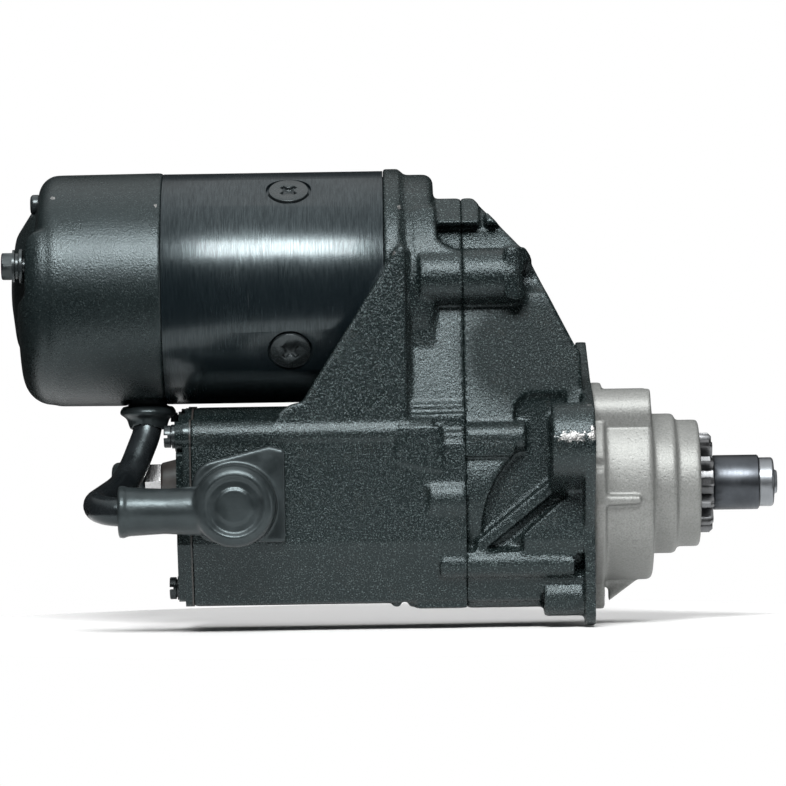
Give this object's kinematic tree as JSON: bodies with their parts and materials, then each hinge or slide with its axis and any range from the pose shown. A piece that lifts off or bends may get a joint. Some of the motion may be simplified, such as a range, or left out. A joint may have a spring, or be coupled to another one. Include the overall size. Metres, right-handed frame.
{
  "type": "starter motor",
  "caption": "Offset gear-reduction starter motor: a motor above a magnetic switch, geared to a sliding pinion that comes out of a flanged nose.",
  "frame": {"origin": "where the pinion axis meets the mounting face of the flange", "axes": "+X along the pinion axis, out of the nose; +Z towards the motor; +Y away from the side that carries the motor lead"},
  "size_m": [0.2919, 0.1147, 0.1742],
  "materials": {
    "black_casting": "semi-gloss paint on a sand-grained casting",
    "black_tube": "gloss paint over turned steel",
    "black_cover": "semi-gloss paint on pressed steel",
    "nose_casting": "bare casting",
    "dark_fastener": "gloss paint over steel",
    "zinc_steel": "plated",
    "gear_steel": "hardened and oiled",
    "bearing_steel": "ground",
    "spring_steel": "oiled",
    "soft_iron": "plated iron",
    "copper": "bare copper",
    "winding": "enamelled copper",
    "carbon": "pressed carbon and copper",
    "insulation": "moulded",
    "soft_rubber": "smooth, slightly glossy",
    "lead_jacket": "smooth sleeve"
  },
  "bodies": {
    "stator": {"end_cover": "black_cover", "yoke": "black_tube", "pole_shoes": "soft_iron", "pole_screws": "dark_fastener", "field_coils": "winding", "through_bolts": "dark_fastener", "bolt_washers": "dark_fastener", "brush_holder": "insulation", "brushes": "carbon", "brush_springs": "spring_steel", "brush_holder_screws": "dark_fastener", "yoke_seal": "soft_rubber", "bearing_outer_rings": "bearing_steel", "bearing_balls": "bearing_steel", "gear_housing": "black_casting", "drive_housing": "black_casting", "nose_housing": "nose_casting", "nose_screws": "zinc_steel", "housing_bolts": "dark_fastener", "idler_pin": "gear_steel", "idler_rollers": "bearing_steel", "solenoid_bobbin": "insulation", "solenoid_coils": "winding", "solenoid_core": "soft_iron", "fixed_contacts": "copper", "terminal_studs": "copper", "terminal_bushes": "insulation", "terminal_nuts": "zinc_steel", "battery_cap": "soft_rubber", "signal_terminal": "copper", "solenoid_cover": "black_cover", "solenoid_gasket": "insulation", "solenoid_screws": "dark_fastener", "motor_lead": "lead_jacket", "lead_lug": "copper", "lead_grommet": "soft_rubber", "motor_boot": "soft_rubber"},
    "armature": {"armature_shaft": "gear_steel", "armature_core": "soft_iron", "armature_windings": "winding", "commutator": "copper", "armature_bearing_cores": "bearing_steel"},
    "idler": {"idler_gear": "gear_steel"},
    "clutch": {"clutch_gear": "gear_steel", "clutch_rollers": "bearing_steel", "clutch_springs": "spring_steel", "clutch_cover": "soft_iron", "clutch_bearing_core": "bearing_steel"},
    "drive": {"drive_tube": "gear_steel", "nose_bearing_core": "bearing_steel"},
    "shaft": {"pinion_shaft": "gear_steel", "stop_collar": "gear_steel", "snap_ring": "zinc_steel", "pinion_spring": "spring_steel", "return_spring": "spring_steel"},
    "pinion": {"pinion": "gear_steel"},
    "plunger": {"plunger": "soft_iron", "contact_plate": "copper", "steel_ball": "bearing_steel", "plunger_spring": "spring_steel"}
  },
  "joints": [
    {"name": "armature_spin", "type": "hinge", "parent": "stator", "child": "armature", "pos_m": [0, 0.009, 0.077], "axis": [1, 0, 0], "continuous": true},
    {"name": "idler_spin", "type": "hinge", "parent": "stator", "child": "idler", "pos_m": [0, 0.02128, 0.04963], "axis": [1, 0, 0], "continuous": true},
    {"name": "clutch_spin", "type": "hinge", "parent": "stator", "child": "clutch", "pos_m": [0, 0, 0], "axis": [1, 0, 0], "continuous": true},
    {"name": "clutch_overrun", "type": "hinge", "parent": "clutch", "child": "drive", "pos_m": [0, 0, 0], "axis": [1, 0, 0], "continuous": true},
    {"name": "plunger_slide", "type": "slide", "parent": "stator", "child": "plunger", "axis": [1, 0, 0], "range_m": [0, 0.016], "stiffness_N_per_m": 1500, "springref_m": -0.012, "deforming": ["plunger_spring"]},
    {"name": "shaft_slide", "type": "slide", "parent": "drive", "child": "shaft", "axis": [1, 0, 0], "range_m": [0, 0.016], "deforming": ["return_spring"]},
    {"name": "pinion_cushion", "type": "slide", "parent": "shaft", "child": "pinion", "axis": [-1, 0, 0], "range_m": [0, 0.0025], "stiffness_N_per_m": 6000, "springref_m": -0.003, "deforming": ["pinion_spring"]}
  ],
  "couplings": [
    {"joint": "idler_spin", "follows": "armature_spin", "ratio": -0.5},
    {"joint": "clutch_spin", "follows": "armature_spin", "ratio": 0.29412},
    {"joint": "shaft_slide", "follows": "plunger_slide", "ratio": 1}
  ]
}
